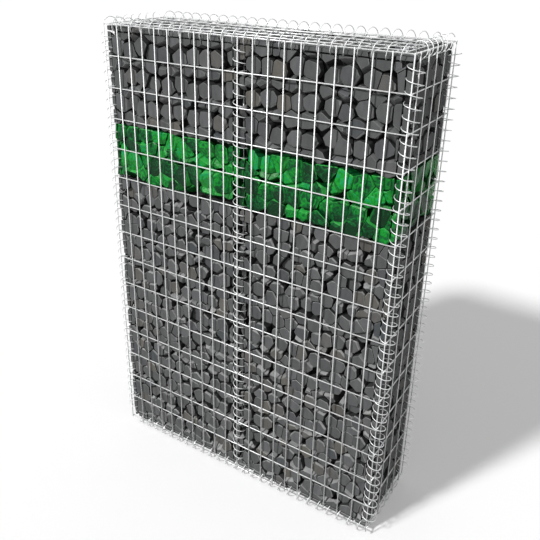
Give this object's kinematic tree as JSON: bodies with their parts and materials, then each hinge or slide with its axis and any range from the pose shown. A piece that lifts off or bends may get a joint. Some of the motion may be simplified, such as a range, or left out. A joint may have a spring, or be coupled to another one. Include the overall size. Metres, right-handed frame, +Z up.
{
  "type": "gabion wall unit",
  "caption": "Upright welded mesh basket laced with spiral wire, filled with broken stone and a band of green glass.",
  "frame": {"origin": "on the ground under the middle of the basket", "axes": "+Z up, +X along the wall to the right, -Y out of the front face"},
  "size_m": [1.0606, 0.3126, 1.5456],
  "materials": {
    "mesh_wire": "satin",
    "spiral_wire": "satin",
    "stone": "matte",
    "glass": "gloss"
  },
  "bodies": {
    "root": {"front_panel": "mesh_wire", "back_panel": "mesh_wire", "left_side_panel": "mesh_wire", "right_side_panel": "mesh_wire", "partition_panel": "mesh_wire", "lid_panel": "mesh_wire", "base_panel": "mesh_wire", "front_left_corner_spiral": "spiral_wire", "front_partition_spiral": "spiral_wire", "front_right_corner_spiral": "spiral_wire", "front_base_spiral": "spiral_wire", "right_base_spiral": "spiral_wire", "front_lid_spiral": "spiral_wire", "right_lid_spiral": "spiral_wire", "back_right_corner_spiral": "spiral_wire", "back_partition_spiral": "spiral_wire", "back_left_corner_spiral": "spiral_wire", "back_base_spiral": "spiral_wire", "left_base_spiral": "spiral_wire", "back_lid_spiral": "spiral_wire", "left_lid_spiral": "spiral_wire", "lower_stone_fill_left": "stone", "upper_stone_fill_left": "stone", "glass_fill_left": "glass", "lower_stone_fill_right": "stone", "upper_stone_fill_right": "stone", "glass_fill_right": "glass"}
  },
  "joints": []
}
